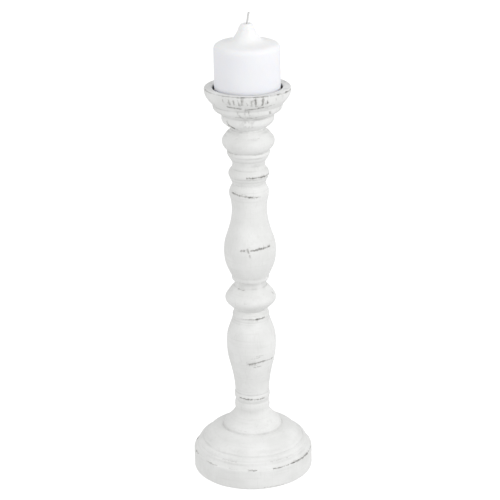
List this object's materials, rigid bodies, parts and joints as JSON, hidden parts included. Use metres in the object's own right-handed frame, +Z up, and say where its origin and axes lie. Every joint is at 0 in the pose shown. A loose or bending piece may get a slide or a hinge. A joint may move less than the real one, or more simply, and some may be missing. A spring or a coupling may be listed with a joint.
{
  "type": "wooden candlestick",
  "caption": "Turned whitewashed wooden candlestick on a round moulded foot, with a cupped top, lined recess, spike and a pillar candle.",
  "frame": {"origin": "on the table, under the centre of the foot, at the undersides of the felt pads", "axes": "+Z up the stem's axis; the part is turned about it, so X and Y are free; the free end of the wick leans towards +X"},
  "size_m": [0.12, 0.12, 0.4718],
  "materials": {
    "whitewashed_wood": "brushed white paint over turned wood, rubbed through along the edges",
    "dowel_wood": "plain beech",
    "black_lacquer": "black satin lacquer on sheet steel",
    "zinc_steel": "bright zinc plate",
    "felt": "pale pressed felt",
    "candle_wax": "smooth white paraffin wax",
    "wick_cotton": "waxed braided cotton, unlit"
  },
  "bodies": {
    "holder": {"foot": "whitewashed_wood", "lower_baluster": "whitewashed_wood", "upper_baluster": "whitewashed_wood", "neck_spool": "whitewashed_wood", "candle_cup": "whitewashed_wood", "centre_dowel": "dowel_wood", "spool_dowel": "dowel_wood", "cup_dowel": "dowel_wood", "foot_screw": "zinc_steel", "screw_washer": "zinc_steel", "drip_pan": "black_lacquer", "candle_spike": "zinc_steel", "felt_pad_1": "felt", "felt_pad_2": "felt", "felt_pad_3": "felt", "felt_pad_4": "felt"},
    "candle": {"candle_body": "candle_wax", "candle_wick": "wick_cotton"}
  },
  "joints": [
    {"name": "candle_lift", "type": "slide", "parent": "holder", "child": "candle", "axis": [0, 0, 1], "range_m": [0, 0.06]}
  ]
}
